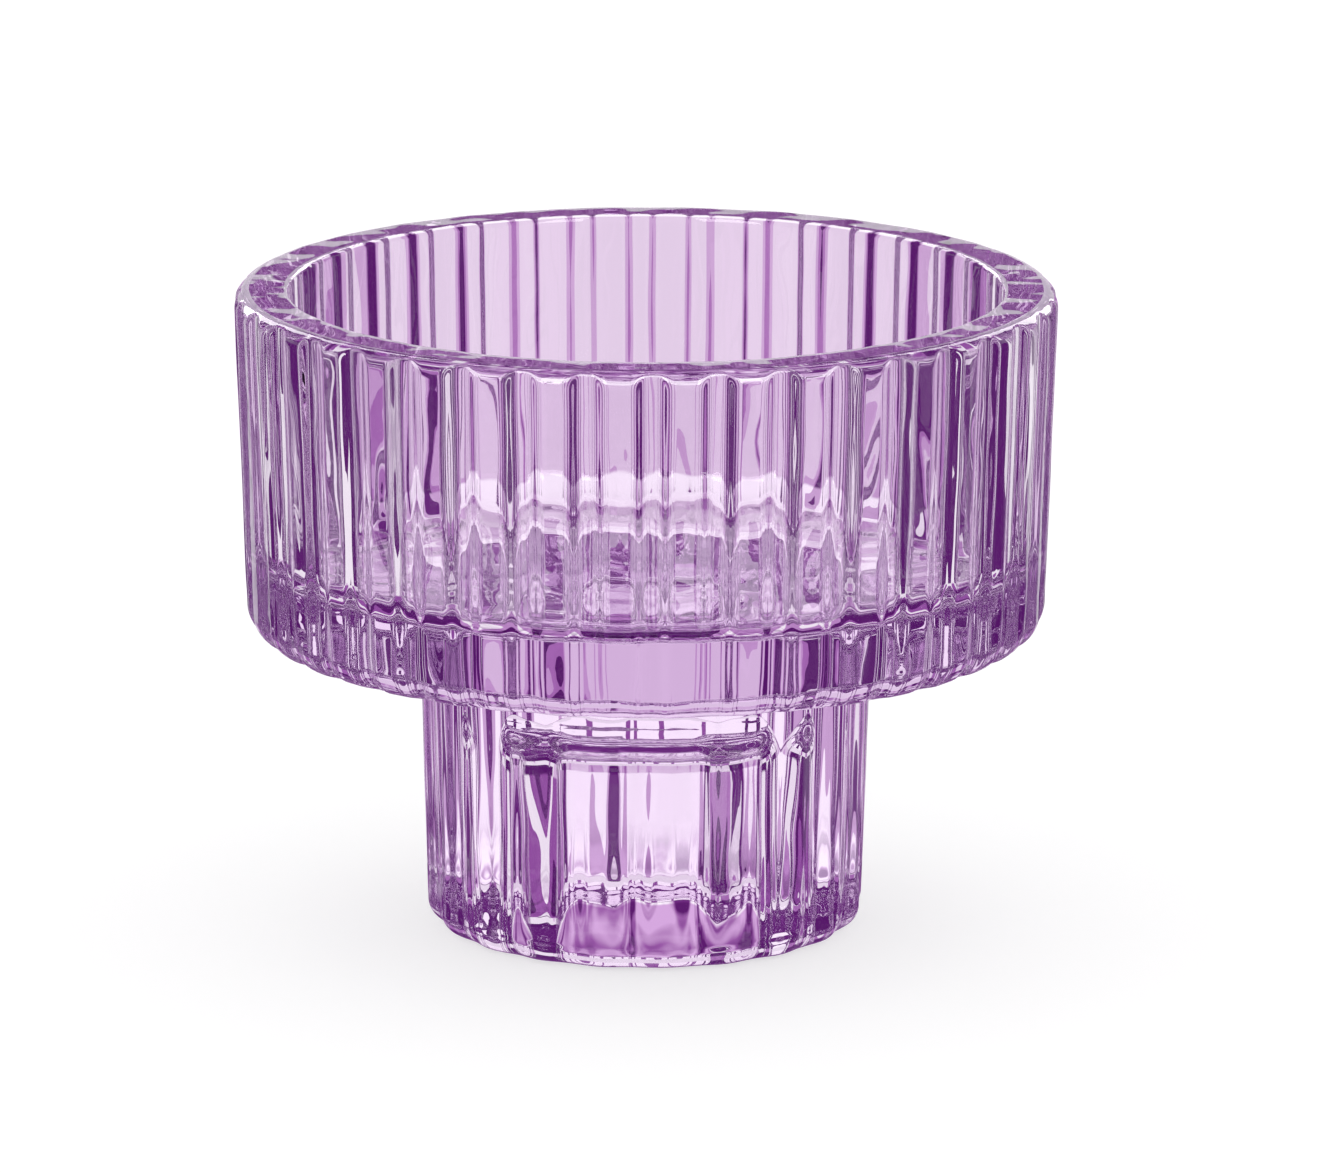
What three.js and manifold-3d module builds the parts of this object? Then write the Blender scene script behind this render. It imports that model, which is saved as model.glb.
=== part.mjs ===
// Pedestal candle holder in transparent lilac pressed glass, one single piece of glass.
// A wide fluted cup takes a tea light or a small pillar candle. It stands on a narrower fluted
// foot, whose underside holds a socket for a taper candle once the holder is turned over.
// Millimetres, +Z up. The origin is on the axis, in the plane that the foot stands on.

import * as THREE from "three";
import { mergeVertices } from "three/addons/utils/BufferGeometryUtils.js";
import Module from "manifold-3d";

const wasm = await Module();
wasm.setup();

// Heights above the table
const holderHeight = 63.5;
const cupUnderside = 29.2;
const baseThickness = 6.8;
const socketDepth = 21;

// Cup, measured over the crests of its ribs
const cupRadiusAtRim = 40;
const cupRadiusAtBase = 39;
const cupRibs = 40;
const cupFluteFloor = 0.9;
const cupFluteFlank = 1.7;
const cupFluteDepth = 0.55;
const cupRibDoming = 0.1;
const cupCornerRadius = 3.4;

// Rim: a flat ring with a rounded shoulder outside and a small rounding inside
const shoulderWidth = 1.6;
const shoulderDrop = 1.8;
const rimInnerRounding = 0.6;

// Well of the cup, smooth inside, a little narrower at its floor so that the plunger comes out
const wallAtRim = 5.3;
const wallAtFloor = 4.8;
const wellFillet = 3.2;

// Foot, measured over the crests of its ribs
const footRadiusAtCup = 22.1;
const footRadiusAtTable = 21.4;
const footRibs = 20;
const footTurn = 9;
const footFluteDepth = 0.6;
const footCornerRadius = 2.4;
const footNeckFillet = 1.0;

// Taper socket, open below when the holder stands on its foot
const socketRadiusAtMouth = 11.1;
const socketRadiusAtEnd = 10.75;
const socketMouthRounding = 0.8;
const socketEndRounding = 3.0;

// How finely the curves are faceted
const arcSteps = 3;
const wellSides = 100;
const socketSides = 48;

// Cutters reach this far past the glass, and the foot this far up into the base of the cup
const cutterReach = 2;
const footRootDepth = 1.5;

const glassMaterial = new THREE.MeshStandardMaterial({
  color: 0xa06eb9,
  roughness: 0.05,
  metalness: 0,
  transparent: true,
  opacity: 0.6,
});

// Points on a quarter of an ellipse, from one angle to another, both in quarter turns
function quarterArc(centreX, centreZ, radiusX, radiusZ, from, to) {
  const points = [];
  for (let i = 0; i <= arcSteps; i += 1) {
    const angle = ((from + ((to - from) * i) / arcSteps) * Math.PI) / 2;
    points.push(new THREE.Vector2(centreX + radiusX * Math.cos(angle), centreZ + radiusZ * Math.sin(angle)));
  }
  return points;
}

// A closed solid from a geometry, with its shared vertices merged and its faces pointing out
function solidFrom(geometry) {
  geometry.deleteAttribute("normal");
  geometry.deleteAttribute("uv");
  const merged = mergeVertices(geometry, 1e-4);
  const vertProperties = new Float32Array(merged.attributes.position.array);
  const corner = (index) => new THREE.Vector3().fromArray(vertProperties, 3 * index);
  const faces = [];
  let volume = 0;
  for (let i = 0; i < merged.index.count; i += 3) {
    const [a, b, c] = [0, 1, 2].map((k) => merged.index.getX(i + k));
    if (a === b || b === c || c === a) continue;
    faces.push([a, b, c]);
    volume += corner(a).dot(corner(b).cross(corner(c)));
  }
  const triVerts = new Uint32Array(faces.flatMap(([a, b, c]) => (volume > 0 ? [a, b, c] : [a, c, b])));
  return new wasm.Manifold(new wasm.Mesh({ numProp: 3, vertProperties, triVerts }));
}

// A profile of points (radius, height) turned round the Z axis
function turnedSolid(profile, sides) {
  return solidFrom(new THREE.LatheGeometry(profile, sides).rotateX(Math.PI / 2));
}

// Directions of the points on one fluted ring, and how deep the flute is at each of them.
// A rib's crest stands at the angle turn, and a flute's floor lies half a pitch beyond it.
function flutePattern(ribs, turn, acrossFlute) {
  const pattern = [];
  for (let rib = 0; rib < ribs; rib += 1) {
    const fluteCentre = ((rib + 0.5) * 2 * Math.PI) / ribs + (turn * Math.PI) / 180;
    for (const [offset, cut] of acrossFlute) pattern.push({ angle: fluteCentre + offset, cut });
  }
  return pattern;
}

// Half a wave that runs from 1 at the middle of a flute to 0 at the given distance from it
function halfWave(distance, length) {
  return (1 + Math.cos((Math.PI * Math.min(Math.abs(distance), length)) / length)) / 2;
}

// Across one flute of the cup: a flat floor, soft flanks, and a slightly domed rib on either side
function cupFlutePattern() {
  const halfPitch = (Math.PI * cupRadiusAtRim) / cupRibs;
  const floorEdge = cupFluteFloor / 2;
  const middleOfFlank = floorEdge + cupFluteFlank / 2;
  const ribEdge = floorEdge + cupFluteFlank;
  const acrossFlute = [-halfPitch, -ribEdge, -middleOfFlank, -floorEdge, floorEdge, middleOfFlank, ribEdge].map(
    (across) => {
      const intoFlank = Math.max(Math.abs(across) - floorEdge, 0);
      const cut = cupFluteDepth * halfWave(intoFlank, cupFluteFlank) + cupRibDoming * halfWave(across, halfPitch);
      return [across / cupRadiusAtRim, cut];
    },
  );
  return flutePattern(cupRibs, 0, acrossFlute);
}

// Across one flute of the foot: a shallow scallop that is as wide as the pitch
function footFlutePattern() {
  const halfPitch = Math.PI / footRibs;
  const acrossFlute = [-4, -3, -2, -1, 0, 1, 2, 3].map((step) => {
    const offset = (step / 4) * halfPitch;
    return [offset, footFluteDepth * halfWave(offset, halfPitch)];
  });
  return flutePattern(footRibs, footTurn, acrossFlute);
}

// A fluted body built up from rings. Each ring gives its height, the radius over the crests there,
// how much of the flutes' depth is left, and the radius that the rounding at the rim allows.
function flutedSolid(rings, pattern) {
  const positions = [0, 0, rings[0].z];
  for (const { z, crest, share = 1, allowed = crest } of rings) {
    for (const { angle, cut } of pattern) {
      const radius = Math.min(allowed, crest - share * cut);
      positions.push(radius * Math.cos(angle), radius * Math.sin(angle), z);
    }
  }
  positions.push(0, 0, rings.at(-1).z);
  const count = pattern.length;
  const lastVertex = positions.length / 3 - 1;
  const at = (ring, i) => 1 + ring * count + (i % count);
  const index = [];
  for (let i = 0; i < count; i += 1) {
    index.push(0, at(0, i + 1), at(0, i));
    index.push(lastVertex, at(rings.length - 1, i), at(rings.length - 1, i + 1));
    for (let ring = 1; ring < rings.length; ring += 1) {
      index.push(at(ring - 1, i), at(ring - 1, i + 1), at(ring, i + 1));
      index.push(at(ring - 1, i), at(ring, i + 1), at(ring, i));
    }
  }
  const geometry = new THREE.BufferGeometry();
  geometry.setAttribute("position", new THREE.Float32BufferAttribute(positions, 3));
  geometry.setIndex(index);
  return solidFrom(geometry);
}

// Rounded lower corner of a fluted body, round which the flutes run out
function lowerCorner(wallRadius, bottom, cornerRadius) {
  const centre = wallRadius - cornerRadius;
  return quarterArc(centre, bottom + cornerRadius, cornerRadius, cornerRadius, -1, 0).map(({ x, y }) => ({
    z: y,
    crest: x,
    share: Math.sqrt(Math.max(x - centre, 0) / cornerRadius),
  }));
}

// Outside of the cup: rounded corner below, drafted wall, rounded shoulder up to the flat rim
function cupBlank() {
  const shoulder = quarterArc(
    cupRadiusAtRim - shoulderWidth,
    holderHeight - shoulderDrop,
    shoulderWidth,
    shoulderDrop,
    0,
    1,
  ).map(({ x, y }) => ({ z: y, crest: cupRadiusAtRim, allowed: x }));
  const corner = lowerCorner(cupRadiusAtBase, cupUnderside, cupCornerRadius);
  return flutedSolid([...corner, ...shoulder], cupFlutePattern());
}

// Outside of the foot: rounded corner on the table, drafted wall, and a small fillet under the cup
function footBlank() {
  const corner = lowerCorner(footRadiusAtTable, 0, footCornerRadius);
  const neck = quarterArc(
    footRadiusAtCup + footNeckFillet,
    cupUnderside - footNeckFillet,
    footNeckFillet,
    footNeckFillet,
    2,
    1,
  ).map(({ x, y }) => ({ z: y, crest: x }));
  const root = { ...neck.at(-1), z: cupUnderside + footRootDepth };
  return flutedSolid([...corner, ...neck, root], footFlutePattern());
}

// Space inside the cup, with a filleted floor and a rounded edge at the rim
function cupWell() {
  const floor = cupUnderside + baseThickness;
  const rimRadius = cupRadiusAtRim - wallAtRim;
  const floorRadius = cupRadiusAtBase - wallAtFloor;
  const top = holderHeight + cutterReach;
  return turnedSolid(
    [
      new THREE.Vector2(0, floor),
      ...quarterArc(floorRadius - wellFillet, floor + wellFillet, wellFillet, wellFillet, -1, 0),
      ...quarterArc(
        rimRadius + rimInnerRounding,
        holderHeight - rimInnerRounding,
        rimInnerRounding,
        rimInnerRounding,
        2,
        1,
      ),
      new THREE.Vector2(rimRadius + rimInnerRounding, top),
      new THREE.Vector2(0, top),
    ],
    wellSides,
  );
}

// Space for the butt of a taper candle, with a rounded mouth and a rounded closed end
function taperSocket() {
  const mouthRadius = socketRadiusAtMouth + socketMouthRounding;
  return turnedSolid(
    [
      new THREE.Vector2(0, -cutterReach),
      new THREE.Vector2(mouthRadius, -cutterReach),
      ...quarterArc(mouthRadius, socketMouthRounding, socketMouthRounding, socketMouthRounding, 3, 2),
      ...quarterArc(
        socketRadiusAtEnd - socketEndRounding,
        socketDepth - socketEndRounding,
        socketEndRounding,
        socketEndRounding,
        0,
        1,
      ),
      new THREE.Vector2(0, socketDepth),
    ],
    socketSides,
  );
}

// The pressed piece: cup and foot as one body, with the well and the socket pressed into it
function glassHolder() {
  const pressed = cupBlank().add(footBlank()).subtract(cupWell()).subtract(taperSocket());
  const { numProp, vertProperties, triVerts } = pressed.getMesh();
  const geometry = new THREE.BufferGeometry();
  const vertices = new THREE.InterleavedBuffer(vertProperties, numProp);
  geometry.setAttribute("position", new THREE.InterleavedBufferAttribute(vertices, 3, 0));
  geometry.setIndex(new THREE.BufferAttribute(triVerts, 1));
  const mesh = new THREE.Mesh(geometry, glassMaterial);
  mesh.name = "glass_holder";
  return mesh;
}

const candleHolder = new THREE.Group();
candleHolder.add(glassHolder());

export default candleHolder;
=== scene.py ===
import math

import bpy
import numpy as np
from mathutils import Matrix, Vector, noise


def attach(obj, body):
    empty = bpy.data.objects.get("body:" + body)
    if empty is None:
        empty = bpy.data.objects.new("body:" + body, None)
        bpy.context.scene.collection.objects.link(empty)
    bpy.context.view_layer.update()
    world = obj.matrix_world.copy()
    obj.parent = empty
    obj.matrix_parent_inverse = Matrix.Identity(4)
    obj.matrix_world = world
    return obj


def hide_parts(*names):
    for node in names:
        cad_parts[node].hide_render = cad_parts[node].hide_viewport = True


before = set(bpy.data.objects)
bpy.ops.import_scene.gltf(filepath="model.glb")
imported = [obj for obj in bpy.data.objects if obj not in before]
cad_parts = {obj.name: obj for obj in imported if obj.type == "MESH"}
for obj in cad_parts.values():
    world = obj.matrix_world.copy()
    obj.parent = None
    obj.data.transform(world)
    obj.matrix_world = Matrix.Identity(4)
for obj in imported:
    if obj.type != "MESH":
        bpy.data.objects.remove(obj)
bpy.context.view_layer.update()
scene = bpy.context.scene

# Camera of the photograph: a long lens a metre away, raised enough to look down into the cup.
# It stands a little to one side of a flute, so the flutes aren't quite symmetrical in the view.
IMAGE_WIDTH = 1341
IMAGE_HEIGHT = 1173
CAMERA_TURN = math.radians(3.5)
CAMERA_ELEVATION = math.radians(13.45)
CAMERA_ROLL = math.radians(0.12)
CAMERA_DISTANCE = 1.0
FOCAL_PIXELS = 10225
AIM_HEIGHT = 0.032
AIM_PIXEL_X = 645.8
AIM_PIXEL_Y = 600.5
SENSOR_WIDTH = 36
FAR_CLIP = 20

camera = bpy.data.objects.new("camera", bpy.data.cameras.new("camera"))
scene.collection.objects.link(camera)
camera.data.sensor_width = SENSOR_WIDTH
camera.data.lens = SENSOR_WIDTH * FOCAL_PIXELS / IMAGE_WIDTH
camera.data.clip_end = FAR_CLIP
to_right = Vector((math.cos(CAMERA_TURN), math.sin(CAMERA_TURN), 0))
to_camera = Vector((
    math.sin(CAMERA_TURN) * math.cos(CAMERA_ELEVATION),
    -math.cos(CAMERA_TURN) * math.cos(CAMERA_ELEVATION),
    math.sin(CAMERA_ELEVATION),
))
upward = to_camera.cross(to_right)
metres_per_pixel = CAMERA_DISTANCE / FOCAL_PIXELS
aim = Vector((0, 0, AIM_HEIGHT))
aim += to_right * (IMAGE_WIDTH / 2 - AIM_PIXEL_X) * metres_per_pixel
aim -= upward * (IMAGE_HEIGHT / 2 - AIM_PIXEL_Y) * metres_per_pixel
facing = Matrix((to_right, upward, to_camera)).transposed() @ Matrix.Rotation(CAMERA_ROLL, 3, "Z")
camera.matrix_world = Matrix.Translation(aim + to_camera * CAMERA_DISTANCE) @ facing.to_4x4()
scene.camera = camera

# Candle holder: a single piece of lilac glass, pressed between a mould and a plunger. The mould
# forms the flutes of the cup and of the foot, and plungers form the well and the taper socket.
# The hot skin is fire-polished, which softens every edge and leaves it slightly wavy.
MM = 0.001

# How finely the skin is divided: points on a ring, and rings up each fluted wall
SIDES = 1200
FOOT_WALL_RINGS = 26
CUP_WALL_RINGS = 30

# Heights above the table, in millimetres
HOLDER_HEIGHT = 63.5
CUP_UNDERSIDE = 29.2
WELL_FLOOR = 36.0
SOCKET_END = 21.0

# Cup, over the crests of its ribs, and the section of one flute
CUP_RADIUS_BELOW = 39.0
CUP_RADIUS_AT_RIM = 40.0
CUP_RIBS = 40
CUP_FLUTE_FLOOR = 0.9
CUP_FLUTE_FLANK = 1.7
CUP_FLUTE_DEPTH = 0.55
CUP_RIB_DOMING = 0.1
CUP_CORNER = 3.4
SHOULDER_WIDTH = 1.6
SHOULDER_DROP = 1.8

# Well of the cup and the inner edge of its rim
WELL_RADIUS_BELOW = 34.2
WELL_RADIUS_AT_RIM = 34.7
WELL_FILLET = 3.2
RIM_INNER_ROUNDING = 0.6

# Foot, over the crests of its ribs
FOOT_RADIUS_BELOW = 21.4
FOOT_RADIUS_AT_CUP = 22.1
FOOT_RIBS = 20
FOOT_TURN = 9
FOOT_FLUTE_DEPTH = 0.6
FOOT_CORNER = 2.4
NECK_FILLET = 1.0

# Taper socket under the foot
SOCKET_RADIUS_AT_MOUTH = 11.1
SOCKET_RADIUS_AT_END = 10.75
SOCKET_MOUTH_ROUNDING = 0.8
SOCKET_END_ROUNDING = 3.0

# How softly a flute's head meets the rounding of the rim
HEAD_BLEND = 0.3

# How wavy the skin is. Waves and ripples are drawn out up the walls, each by its own stretch.
WAVE_HEIGHT = 0.07
WAVE_LENGTH = 5.0
WAVE_STRETCH = 2.5
RIPPLE_HEIGHT = 0.03
RIPPLE_LENGTH = 2.4
RIPPLE_STRETCH = 2
RIPPLE_START = 64

# The cup's thick base chills last and ripples more: where, how far up and down, and how much more
BASE_RIPPLE_MIDDLE = 32.5
BASE_RIPPLE_REACH = 3.0
BASE_RIPPLE_EXTRA = 2.0

around = np.arange(SIDES) * 2 * math.pi / SIDES
no_cut = np.zeros(SIDES)


def half_wave(distance, length):
    """Half a wave from 1 at the middle of a flute to 0 at the given distance from it."""
    return 0.5 + 0.5 * np.cos(np.pi * np.minimum(np.abs(distance), length) / length)


def from_flute_middle(ribs, radius, turn):
    """How far each point of a ring lies from the middle of its flute, and half a pitch."""
    pitch = 2 * math.pi / ribs
    return ((around - math.radians(turn)) % pitch - pitch / 2) * radius, pitch * radius / 2


def quarter_arc(centre, radii, start, end, steps):
    """Points (radius, height) on a quarter of an ellipse, between two angles in quarter turns."""
    t = np.linspace(start, end, steps + 1) * math.pi / 2
    return list(zip(centre[0] + radii[0] * np.cos(t), centre[1] + radii[1] * np.sin(t)))


def between(a, b, steps):
    """Points evenly spaced between two others, which are left out."""
    shares = np.linspace(0, 1, steps + 1)[1:-1]
    return [(a[0] + (b[0] - a[0]) * share, a[1] + (b[1] - a[1]) * share) for share in shares]


def turned_ring(radius, height, cut=no_cut):
    """One ring of the skin, with the flutes cut into it."""
    return radius - cut, height


def headed_ring(radius, height, crest, cut):
    """A ring where the rounding and the fluted wall meet: the smaller radius, softly blended."""
    rounding = radius + HEAD_BLEND / 4
    wall = crest + HEAD_BLEND / 4 - cut
    overlap = np.maximum(HEAD_BLEND - np.abs(rounding - wall), 0) / HEAD_BLEND
    return np.minimum(rounding, wall) - overlap * overlap * HEAD_BLEND / 4, height


def corner_rings(corner, start, size, cut):
    """The rings of a rounded lower corner, round which the flutes run out."""
    return [turned_ring(r, z, cut * math.sqrt(max(r - start, 0) / size)) for r, z in corner]


def drafted(below, above, low, high, height):
    """Radius of a drafted wall at a height."""
    return below + (above - below) * (height - low) / (high - low)


def socket_rings():
    """The taper socket, from the middle of its end down to its mouth."""
    end_radius = SOCKET_RADIUS_AT_END - SOCKET_END_ROUNDING
    mouth_radius = SOCKET_RADIUS_AT_MOUTH + SOCKET_MOUTH_ROUNDING
    end_radii = (SOCKET_END_ROUNDING, SOCKET_END_ROUNDING)
    mouth_radii = (SOCKET_MOUTH_ROUNDING, SOCKET_MOUTH_ROUNDING)
    middle = [(end_radius * share, SOCKET_END) for share in (0.25, 0.5, 0.75)]
    end = quarter_arc((end_radius, SOCKET_END - SOCKET_END_ROUNDING), end_radii, 1, 0, steps=8)
    mouth = quarter_arc((mouth_radius, SOCKET_MOUTH_ROUNDING), mouth_radii, 2, 3, steps=6)
    wall = between(end[-1], mouth[0], steps=16)
    return [turned_ring(r, z) for r, z in middle + end + wall + mouth]


def foot_rings():
    """The foot's flat ring, its rounded corner, its fluted wall and the fillet under the cup."""
    across, half_pitch = from_flute_middle(FOOT_RIBS, FOOT_RADIUS_AT_CUP, FOOT_TURN)
    cut = FOOT_FLUTE_DEPTH * half_wave(across, half_pitch)
    corner_start = FOOT_RADIUS_BELOW - FOOT_CORNER
    mouth_edge = (SOCKET_RADIUS_AT_MOUTH + SOCKET_MOUTH_ROUNDING, 0)
    wall_top = CUP_UNDERSIDE - NECK_FILLET
    neck_centre = (FOOT_RADIUS_AT_CUP + NECK_FILLET, wall_top)
    corner = quarter_arc((corner_start, FOOT_CORNER), (FOOT_CORNER, FOOT_CORNER), -1, 0, steps=14)
    neck = quarter_arc(neck_centre, (NECK_FILLET, NECK_FILLET), 2, 1, steps=6)
    rings = [turned_ring(r, z) for r, z in between(mouth_edge, corner[0], steps=5)]
    rings += corner_rings(corner, corner_start, FOOT_CORNER, cut)
    for z in np.linspace(FOOT_CORNER, wall_top, FOOT_WALL_RINGS)[1:-1]:
        crest = drafted(FOOT_RADIUS_BELOW, FOOT_RADIUS_AT_CUP, FOOT_CORNER, wall_top, z)
        rings.append(headed_ring(crest, z, crest, cut))
    rings += [headed_ring(r, z, r, cut) for r, z in neck]
    underside = between(neck[-1], (CUP_RADIUS_BELOW - CUP_CORNER, CUP_UNDERSIDE), steps=8)
    for i, (r, z) in enumerate(underside):
        fade = (1 - (i + 1) / (len(underside) + 1)) ** 2
        rings.append(turned_ring(r, z, cut * fade))
    return rings


def cup_rings():
    """The cup's rounded corner, its fluted wall and the shoulder in which the flutes end."""
    across, half_pitch = from_flute_middle(CUP_RIBS, CUP_RADIUS_AT_RIM, 0)
    into_flank = np.maximum(np.abs(across) - CUP_FLUTE_FLOOR / 2, 0)
    cut = CUP_FLUTE_DEPTH * half_wave(into_flank, CUP_FLUTE_FLANK)
    cut += CUP_RIB_DOMING * half_wave(across, half_pitch)
    corner_start = CUP_RADIUS_BELOW - CUP_CORNER
    wall_foot = CUP_UNDERSIDE + CUP_CORNER
    wall_top = HOLDER_HEIGHT - SHOULDER_DROP
    corner = quarter_arc((corner_start, wall_foot), (CUP_CORNER, CUP_CORNER), -1, 0, steps=16)
    shoulder_centre = (CUP_RADIUS_AT_RIM - SHOULDER_WIDTH, wall_top)
    shoulder = quarter_arc(shoulder_centre, (SHOULDER_WIDTH, SHOULDER_DROP), 0, 1, steps=20)
    rings = corner_rings(corner, corner_start, CUP_CORNER, cut)
    for z in np.linspace(wall_foot, wall_top, CUP_WALL_RINGS)[1:-1]:
        crest = drafted(CUP_RADIUS_BELOW, CUP_RADIUS_AT_RIM, wall_foot, wall_top, z)
        rings.append(headed_ring(crest, z, crest, cut))
    rings += [headed_ring(r, z, CUP_RADIUS_AT_RIM, cut) for r, z in shoulder]
    return rings


def well_rings():
    """The flat rim, the smooth wall of the well, its fillet and its floor."""
    edge_centre = (WELL_RADIUS_AT_RIM + RIM_INNER_ROUNDING, HOLDER_HEIGHT - RIM_INNER_ROUNDING)
    edge = quarter_arc(edge_centre, (RIM_INNER_ROUNDING, RIM_INNER_ROUNDING), 1, 2, steps=6)
    fillet_centre = (WELL_RADIUS_BELOW - WELL_FILLET, WELL_FLOOR + WELL_FILLET)
    fillet = quarter_arc(fillet_centre, (WELL_FILLET, WELL_FILLET), 0, -1, steps=12)
    rim = between((CUP_RADIUS_AT_RIM - SHOULDER_WIDTH, HOLDER_HEIGHT), edge[0], steps=4)
    wall = between(edge[-1], fillet[0], steps=20)
    floor = [(fillet[-1][0] * share, WELL_FLOOR) for share in (0.85, 0.6, 0.35, 0.15)]
    return [turned_ring(r, z) for r, z in rim + edge + wall + fillet + floor]


def fire_polished(points):
    """The same points, each moved in or out by up to a tenth of a millimetre of smooth waves."""
    shift = np.zeros(points.shape[:2])
    for i, row in enumerate(points / MM):
        for j, (x, y, z) in enumerate(row):
            wave = noise.noise(Vector((x, y, z / WAVE_STRETCH)) / WAVE_LENGTH)
            ripple = noise.noise(Vector((x, y, z / RIPPLE_STRETCH + RIPPLE_START)) / RIPPLE_LENGTH)
            at_base = math.exp(-((z - BASE_RIPPLE_MIDDLE) / BASE_RIPPLE_REACH) ** 2)
            ripple *= 1 + BASE_RIPPLE_EXTRA * at_base
            shift[i, j] = WAVE_HEIGHT * wave + RIPPLE_HEIGHT * ripple
    along = np.gradient(points, axis=0)
    across = np.roll(points, -1, 1) - np.roll(points, 1, 1)
    normal = np.cross(across, along)
    normal /= np.linalg.norm(normal, axis=-1, keepdims=True)
    return points + normal * (shift * MM)[..., None]


def seated(points):
    """The same points, set on the table and drawn in by what the waves add to the overall size."""
    points[..., 2] -= points[..., 2].min()
    size = np.array([CUP_RADIUS_AT_RIM, CUP_RADIUS_AT_RIM, HOLDER_HEIGHT]) * MM
    return points * np.minimum(size / np.abs(points).max((0, 1)), 1)


def pressed_mesh():
    """The skin from the socket's end, round the foot and the cup, to the middle of the well."""
    rings = socket_rings() + foot_rings() + cup_rings() + well_rings()
    radius = np.array([np.broadcast_to(r, SIDES) for r, z in rings])
    height = np.array([np.full(SIDES, z) for r, z in rings])
    points = np.stack([radius * np.cos(around), radius * np.sin(around), height], -1) * MM
    points = seated(fire_polished(points))
    corners = np.concatenate([points.reshape(-1, 3), [points[0].mean(0), points[-1].mean(0)]])
    this = np.arange(SIDES)
    after = (this + 1) % SIDES
    last = (len(rings) - 1) * SIDES
    faces = []
    for i in range(len(rings) - 1):
        low, high = i * SIDES, (i + 1) * SIDES
        faces += np.stack([low + this, low + after, high + after, high + this], -1).tolist()
    socket_centre, well_centre = len(corners) - 2, len(corners) - 1
    faces += [[int(b), int(a), socket_centre] for a, b in zip(this, after)]
    faces += [[last + int(a), last + int(b), well_centre] for a, b in zip(this, after)]
    mesh = bpy.data.meshes.new("pressed_glass")
    mesh.from_pydata(corners.tolist(), [], faces)
    mesh.polygons.foreach_set("use_smooth", [True] * len(faces))
    mesh.update()
    return mesh


# Glass: the tint at each surface, a little deeper along the cords that pressed glass keeps
PALE_LILAC = (0.965, 0.915, 0.978, 1)
DEEP_LILAC = (0.955, 0.895, 0.968, 1)
CORD_SCALE = (90, 90, 25)
CORD_DISTORTION = 1.5
CORD_FROM = 0.35
CORD_TO = 0.65
GLASS_IOR = 1.5

# The colour that the body of the glass leaves in the light, and how much it takes out per metre
BODY_KEEPS = (0.5, 0.0, 0.62, 1)
BODY_DENSITY = 6

# The skin: a trace of haze where the cords are deepest, and soft dimples
HAZE = 0.012
HAZE_FROM = 0.55
HAZE_TO = 0.8
DIMPLE_SCALE = 420
DIMPLE_DEPTH = 0.00002
DIMPLE_STRENGTH = 0.05


def lilac_glass():
    """Clear lilac glass with faint cords of deeper colour and a softly dimpled, glossy skin."""
    material = bpy.data.materials.new("lilac_glass")
    material.use_nodes = True
    nodes, links = material.node_tree.nodes, material.node_tree.links
    glass = nodes["Principled BSDF"]
    glass.inputs["IOR"].default_value = GLASS_IOR
    glass.inputs["Transmission Weight"].default_value = 1.0
    place = nodes.new("ShaderNodeTexCoord")
    stretched = nodes.new("ShaderNodeMapping")
    stretched.inputs["Scale"].default_value = CORD_SCALE
    links.new(place.outputs["Object"], stretched.inputs["Vector"])
    cords = nodes.new("ShaderNodeTexNoise")
    cords.inputs["Scale"].default_value = 1
    cords.inputs["Distortion"].default_value = CORD_DISTORTION
    links.new(stretched.outputs["Vector"], cords.inputs["Vector"])
    tint = nodes.new("ShaderNodeValToRGB")
    tint.color_ramp.elements[0].position = CORD_FROM
    tint.color_ramp.elements[0].color = PALE_LILAC
    tint.color_ramp.elements[1].position = CORD_TO
    tint.color_ramp.elements[1].color = DEEP_LILAC
    links.new(cords.outputs["Fac"], tint.inputs["Fac"])
    links.new(tint.outputs["Color"], glass.inputs["Base Color"])
    haze = nodes.new("ShaderNodeMapRange")
    haze.inputs["From Min"].default_value = HAZE_FROM
    haze.inputs["From Max"].default_value = HAZE_TO
    haze.inputs["To Max"].default_value = HAZE
    links.new(cords.outputs["Fac"], haze.inputs["Value"])
    links.new(haze.outputs["Result"], glass.inputs["Roughness"])
    dimples = nodes.new("ShaderNodeTexNoise")
    dimples.inputs["Scale"].default_value = DIMPLE_SCALE
    dimples.inputs["Detail"].default_value = 1
    links.new(place.outputs["Object"], dimples.inputs["Vector"])
    bump = nodes.new("ShaderNodeBump")
    bump.inputs["Strength"].default_value = DIMPLE_STRENGTH
    bump.inputs["Distance"].default_value = DIMPLE_DEPTH
    links.new(dimples.outputs["Fac"], bump.inputs["Height"])
    links.new(bump.outputs["Normal"], glass.inputs["Normal"])
    body = nodes.new("ShaderNodeVolumeAbsorption")
    body.inputs["Color"].default_value = BODY_KEEPS
    body.inputs["Density"].default_value = BODY_DENSITY
    links.new(body.outputs["Volume"], nodes["Material Output"].inputs["Volume"])
    return material


holder = bpy.data.objects.new("pressed_glass", pressed_mesh())
scene.collection.objects.link(holder)
holder.data.materials.append(lilac_glass())
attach(holder, "root")
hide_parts("glass_holder")

# Table: a matt white sweep. Seen directly it is white, with the holder's own soft shadow on it.
# Through the glass it shows painted light and shade: pale and dark bands painted on it that fan out
# round the holder, as a lit sweep does between flags, and fine streaks of painted light near the
# foot.
TABLE_SIZE = 8
TABLE_DROP = 0.00005
TABLE_DIFFUSE = 0.45
TABLE_GLOW = 0.63
BACKDROP_TURN = math.radians(93.5)

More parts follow.
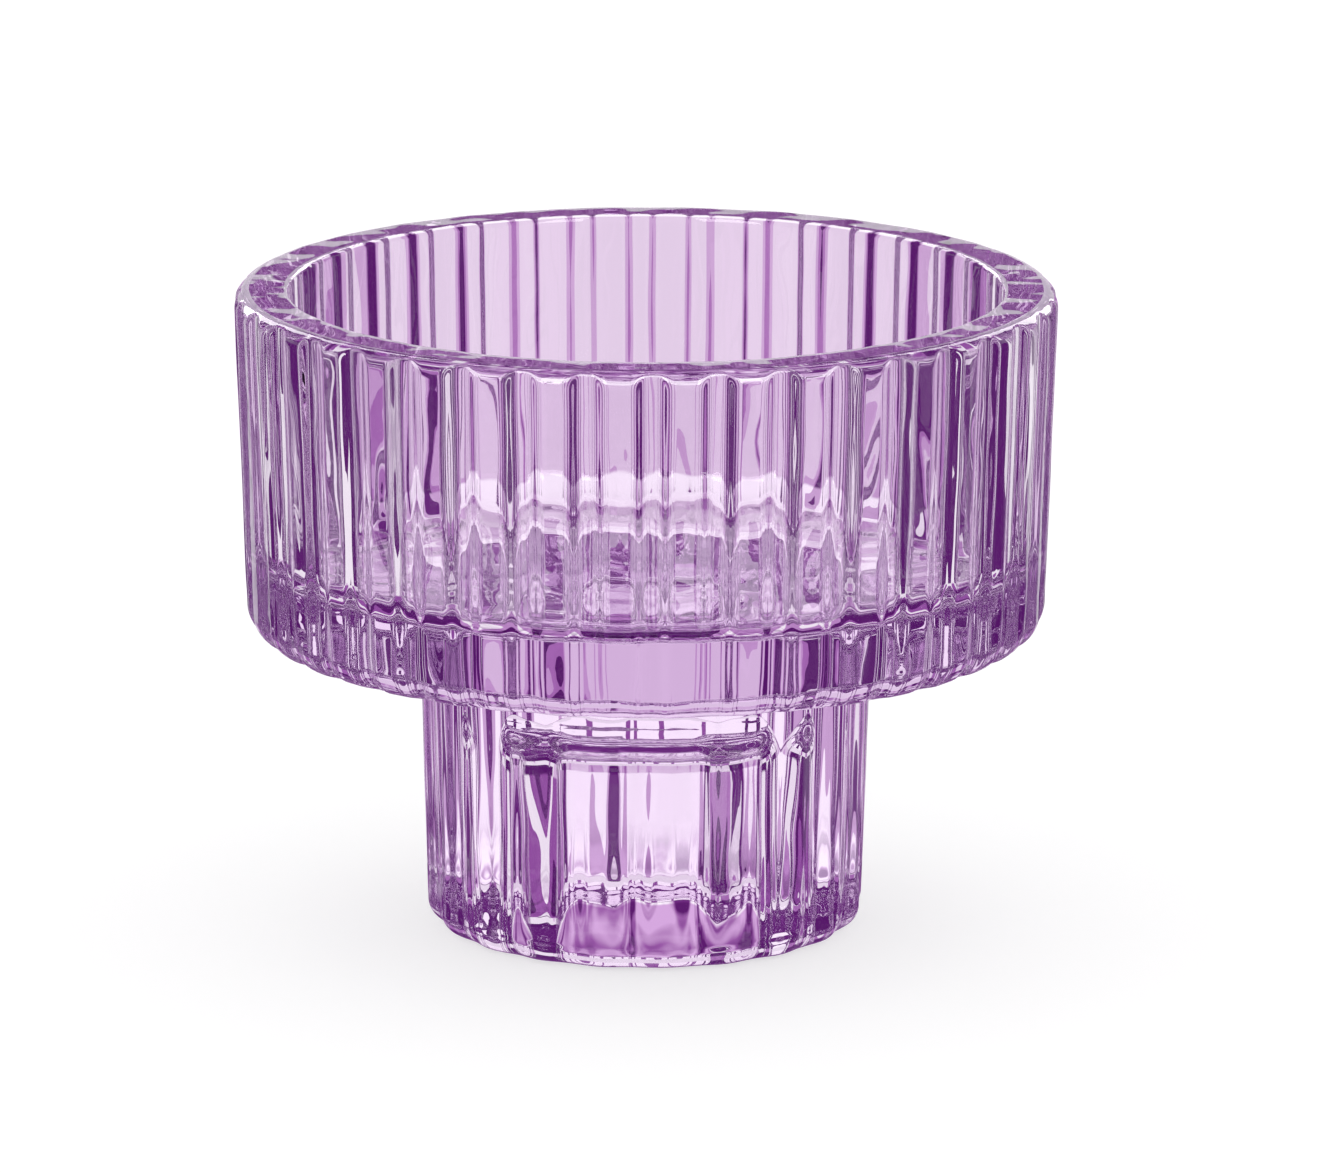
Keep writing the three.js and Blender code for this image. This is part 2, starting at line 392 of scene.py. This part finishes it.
# Distances from the axis at which one zone gives way to the next, and how softly
SOCKET_ZONE = 0.0113
SOCKET_BLEND = 0.001
FOOT_ZONE = 0.022
FOOT_BLEND = 0.002
NEAR_ZONE = 0.12
NEAR_BLEND = 0.02

# Levels of painted light and shade by zone, and by the angle from the middle of the backdrop, in
# degrees
# Inside the socket the table is painted darker: painted shade under the glass
SOCKET_LEVEL = 0.42
FOOT_LEVEL = 1.0
NEAR_BANDS = (
    (0, 1.2), (16, 0.5), (23, 0.02), (32, 1.0), (39, 0.3), (50, 0.01), (60, 0.1), (70, 1.0),
    (82, 0.1), (94, 0.01), (118, 0.3), (130, 1.0), (142, 0.3), (155, 0.01),
)
FAR_BANDS = (
    (0, 0.75), (10, 0.45), (15, 0.2), (18, 0.01), (35, 1.0), (50, 0.01), (79, 1.0),
    (85, 0.6), (92, 0.01), (118, 1.0), (127, 0.5), (156, 0.01),
)

# Painted thrown light: streaks painted on the table that run away from the camera, and how far they
# reach from the axis
STREAKS_ALONG = 40
STREAKS_ACROSS = 260
STREAK_DETAIL = 2
STREAK_DISTORTION = 0.6
STREAK_LEVELS = ((0.4, 0.03), (0.47, 0.3), (0.53, 0.8), (0.6, 1.2))
STREAKS_HALF_GONE = 0.036
STREAKS_FADE = 0.048

# Surfaces that face the camera mirror a dim room instead of the backdrop. It begins at this
# angle from the middle of the backdrop, in half turns.
ROOM_LEVEL = 0.04
ROOM_SHARE = 0.9
ROOM_EDGE = 0.4
ROOM_BLEND = 0.2

# Light that has crossed lilac glass: green falls off fastest, then red, then blue
RED_FALL = 0.5
BLUE_FALL = 0.42

# Places of the colours among a Mix node's sockets
MIX_COLOURS = (6, 7)
MIX_RESULT = 2


def lilac(level):
    """A level of light as its colour: white at 1, and the darker it is, the deeper its tint."""
    return (max(level, level ** RED_FALL), level, max(level, level ** BLUE_FALL), 1)


def sum_of(tree, operation, *values):
    """A Math node's result. Each value is a number or another node's output."""
    node = tree.nodes.new("ShaderNodeMath")
    node.operation = operation
    for socket, value in zip(node.inputs, values):
        if isinstance(value, (int, float)):
            socket.default_value = value
        else:
            tree.links.new(value, socket)
    return node.outputs[0]


def mixed(tree, share, first, second, blend_type="MIX"):
    """A Mix node's colour. Each value is a number, a colour or another node's output."""
    node = tree.nodes.new("ShaderNodeMix")
    node.data_type = "RGBA"
    node.blend_type = blend_type
    sockets = [node.inputs["Factor"]] + [node.inputs[place] for place in MIX_COLOURS]
    for socket, value in zip(sockets, (share, first, second)):
        if isinstance(value, (float, tuple)):
            socket.default_value = value
        else:
            tree.links.new(value, socket)
    return node.outputs[MIX_RESULT]


def past(tree, value, edge, width):
    """0 below an edge and 1 above it, with a smooth step of the given width."""
    step = tree.nodes.new("ShaderNodeMapRange")
    step.interpolation_type = "SMOOTHSTEP"
    step.inputs["From Min"].default_value = edge - width / 2
    step.inputs["From Max"].default_value = edge + width / 2
    tree.links.new(value, step.inputs["Value"])
    return step.outputs["Result"]


def tints(tree, place, stops, interpolation):
    """Colours of light along a ramp of stops (place from 0 to 1, level)."""
    node = tree.nodes.new("ShaderNodeValToRGB")
    node.color_ramp.interpolation = interpolation
    points = node.color_ramp.elements
    for point, (spot, level) in zip(points, (stops[0], stops[-1])):
        point.position = spot
        point.color = lilac(level)
    for spot, level in stops[1:-1]:
        points.new(spot).color = lilac(level)
    tree.links.new(place, node.inputs["Fac"])
    return node.outputs["Color"]


def bands(tree, turn, stops):
    """Bands of light round the holder. Each keeps its level up to the angle where the next starts."""
    return tints(tree, turn, [(angle / 180, level) for angle, level in stops], "CONSTANT")


def parts_of(tree, vector):
    """The X, Y and Z of a vector."""
    split = tree.nodes.new("ShaderNodeSeparateXYZ")
    tree.links.new(vector, split.inputs[0])
    return split.outputs


def turn_of(tree, parts):
    """Angle from the middle of the backdrop, seen from above: 0 there, and 1 for 180 degrees."""
    heading = sum_of(tree, "ARCTAN2", parts["Y"], parts["X"])
    cosine = sum_of(tree, "COSINE", sum_of(tree, "SUBTRACT", heading, BACKDROP_TURN))
    return sum_of(tree, "DIVIDE", sum_of(tree, "ARCCOSINE", cosine), math.pi)


def seen_by_glass(tree, path):
    """1 for a ray that has left the glass, mirrored or let through, and 0 for any other."""
    return sum_of(tree, "MAXIMUM", path.outputs["Is Glossy Ray"], path.outputs["Is Transmission Ray"])


def mirrored(tree, path):
    """1 for a ray that the skin of the glass has mirrored, and 0 for one that came through it."""
    glossy, through = path.outputs["Is Glossy Ray"], path.outputs["Is Transmission Ray"]
    return sum_of(tree, "MAXIMUM", sum_of(tree, "SUBTRACT", glossy, through), 0)


def room_share(tree, path, turn):
    """How much of what the skin mirrors is the dim room on the camera's side."""
    facing_room = sum_of(tree, "MULTIPLY", past(tree, turn, ROOM_EDGE, ROOM_BLEND), ROOM_SHARE)
    return sum_of(tree, "MULTIPLY", mirrored(tree, path), facing_room)


def painted_thrown_streaks(tree, position):
    """Painted streaks of thrown light on the table, stretched away from the camera."""
    turned = tree.nodes.new("ShaderNodeVectorRotate")
    turned.rotation_type = "Z_AXIS"
    turned.inputs["Angle"].default_value = -BACKDROP_TURN
    tree.links.new(position, turned.inputs["Vector"])
    stretched = tree.nodes.new("ShaderNodeVectorMath")
    stretched.operation = "MULTIPLY"
    stretched.inputs[1].default_value = (STREAKS_ALONG, STREAKS_ACROSS, 1)
    tree.links.new(turned.outputs[0], stretched.inputs[0])
    streak_noise = tree.nodes.new("ShaderNodeTexNoise")
    streak_noise.inputs["Scale"].default_value = 1
    streak_noise.inputs["Detail"].default_value = STREAK_DETAIL
    streak_noise.inputs["Distortion"].default_value = STREAK_DISTORTION
    tree.links.new(stretched.outputs[0], streak_noise.inputs["Vector"])
    return tints(tree, streak_noise.outputs["Fac"], STREAK_LEVELS, "LINEAR")


def table_through_glass(tree, position, turn, parts):
    """What the glass shows of the table: painted light and shade in four zones, and painted thrown
    light on the inner ones.
    """
    squares = [sum_of(tree, "POWER", parts[axis], 2) for axis in ("X", "Y")]
    distance = sum_of(tree, "SQRT", sum_of(tree, "ADD", *squares))
    past_socket = past(tree, distance, SOCKET_ZONE, SOCKET_BLEND)
    past_foot = past(tree, distance, FOOT_ZONE, FOOT_BLEND)
    past_near = past(tree, distance, NEAR_ZONE, NEAR_BLEND)
    shown = mixed(tree, past_socket, lilac(SOCKET_LEVEL), lilac(FOOT_LEVEL))
    shown = mixed(tree, past_foot, shown, bands(tree, turn, NEAR_BANDS))
    shown = mixed(tree, past_near, shown, bands(tree, turn, FAR_BANDS))
    reach = sum_of(tree, "SUBTRACT", 1, past(tree, distance, STREAKS_HALF_GONE, STREAKS_FADE))
    return mixed(tree, reach, shown, painted_thrown_streaks(tree, position), "MULTIPLY")


def white_sweep():
    """Matt white card, which the glass shows in painted bands of light and shade."""
    material = bpy.data.materials.new("white_sweep")
    material.use_nodes = True
    tree = material.node_tree
    tree.nodes.remove(tree.nodes["Principled BSDF"])
    path = tree.nodes.new("ShaderNodeLightPath")
    position = tree.nodes.new("ShaderNodeNewGeometry").outputs["Position"]
    card = tree.nodes.new("ShaderNodeBsdfDiffuse")
    card.inputs["Color"].default_value = (TABLE_DIFFUSE, TABLE_DIFFUSE, TABLE_DIFFUSE, 1)
    glow = tree.nodes.new("ShaderNodeEmission")
    camera_glow = sum_of(tree, "MULTIPLY", path.outputs["Is Camera Ray"], TABLE_GLOW)
    tree.links.new(camera_glow, glow.inputs["Strength"])
    direct = tree.nodes.new("ShaderNodeAddShader")
    tree.links.new(card.outputs[0], direct.inputs[0])
    tree.links.new(glow.outputs[0], direct.inputs[1])
    parts = parts_of(tree, position)
    turn = turn_of(tree, parts)
    shown = table_through_glass(tree, position, turn, parts)
    # Where the skin mirrors the table on the camera's side, the table is painted as the dim room: a
    # painted dark reflection
    shown = mixed(tree, room_share(tree, path, turn), shown, lilac(ROOM_LEVEL))
    through = tree.nodes.new("ShaderNodeEmission")
    tree.links.new(shown, through.inputs["Color"])
    either = tree.nodes.new("ShaderNodeMixShader")
    tree.links.new(seen_by_glass(tree, path), either.inputs[0])
    tree.links.new(direct.outputs[0], either.inputs[1])
    tree.links.new(through.outputs[0], either.inputs[2])
    tree.links.new(either.outputs[0], tree.nodes["Material Output"].inputs["Surface"])
    return material


half = TABLE_SIZE / 2
table_outline = ((-half, -half), (half, -half), (half, half), (-half, half))
table_mesh = bpy.data.meshes.new("table")
table_mesh.from_pydata([(x, y, -TABLE_DROP) for x, y in table_outline], [], [(0, 1, 2, 3)])
table_mesh.update()
table = bpy.data.objects.new("table", table_mesh)
scene.collection.objects.link(table)
table.data.materials.append(white_sweep())

# Studio round the table: plain soft white light. The glass shows it as white panels with black
# flags between them, rising in tiers from the table to an overhead softbox on the camera's side.
# Its skin also catches tall strip lights, one towards each corner of the room.
LOW_PANELS = ((0, 1.0), (32, 0.2), (50, 1.0), (85, 0.6), (92, 0.01))
MIDDLE_PANELS = ((0, 0.1), (4, 1.2), (28, 0.01), (118, 1.0))
HIGH_PANELS = ((0, 0.02), (180, 0.02))
OVERHEAD = ((0, 0.02), (60, 0.1), (90, 1.2))
LOW_TOP = math.radians(11)
MIDDLE_TOP = math.radians(30)
HIGH_TOP = math.radians(60)
TIER_BLEND = 0.01

# The light on everything else, and the backdrop that the camera sees
WHITE = (1.0, 1.0, 1.0, 1)

# Strip lights: how bright, the cosines of their edges from the line of view, and the sines of
# the heights of their ends
STRIP_LEVEL = 5.0
STRIP_FROM = 0.80
STRIP_TO = 0.93
STRIP_FOOT = 0.08
STRIP_HEAD = 0.80


def studio_panels(tree, turn, height):
    """The tiers of panels, by the angle round the table and the height above it."""
    shown = bands(tree, turn, LOW_PANELS)
    for edge, stops in ((LOW_TOP, MIDDLE_PANELS), (MIDDLE_TOP, HIGH_PANELS), (HIGH_TOP, OVERHEAD)):
        above = past(tree, height, math.sin(edge), TIER_BLEND)
        shown = mixed(tree, above, shown, bands(tree, turn, stops))
    return shown


def within(tree, value, low, high):
    """1 between two limits and 0 outside them."""
    above = sum_of(tree, "GREATER_THAN", value, low)
    return sum_of(tree, "MULTIPLY", above, sum_of(tree, "LESS_THAN", value, high))


def strip_lights(tree, turn, height):
    """1 inside the strip lights and 0 elsewhere."""
    side = sum_of(tree, "ABSOLUTE", sum_of(tree, "COSINE", sum_of(tree, "MULTIPLY", turn, math.pi)))
    across = within(tree, side, STRIP_FROM, STRIP_TO)
    return sum_of(tree, "MULTIPLY", across, within(tree, height, STRIP_FOOT, STRIP_HEAD))


studio = bpy.data.worlds.new("studio")
scene.world = studio
studio.use_nodes = True
studio_tree = studio.node_tree
direction = studio_tree.nodes.new("ShaderNodeTexCoord").outputs["Generated"]
ray = studio_tree.nodes.new("ShaderNodeLightPath")
direction_parts = parts_of(studio_tree, direction)
studio_turn = turn_of(studio_tree, direction_parts)
panels = studio_panels(studio_tree, studio_turn, direction_parts["Z"])
panels = mixed(studio_tree, room_share(studio_tree, ray, studio_turn), panels, lilac(ROOM_LEVEL))
strips = strip_lights(studio_tree, studio_turn, direction_parts["Z"])
strips = sum_of(studio_tree, "MULTIPLY", strips, mirrored(studio_tree, ray))
panels = mixed(studio_tree, strips, panels, (STRIP_LEVEL, STRIP_LEVEL, STRIP_LEVEL, 1))
light = mixed(studio_tree, seen_by_glass(studio_tree, ray), WHITE, panels)
studio_tree.links.new(light, studio_tree.nodes["Background"].inputs["Color"])

# Picture: plain display of the light, and enough bounces for the paths inside thick fluted glass
GLASS_BOUNCES = 32
MIRROR_BOUNCES = 16
scene.view_settings.view_transform = "Standard"
scene.cycles.max_bounces = GLASS_BOUNCES
scene.cycles.transmission_bounces = GLASS_BOUNCES
scene.cycles.glossy_bounces = MIRROR_BOUNCES
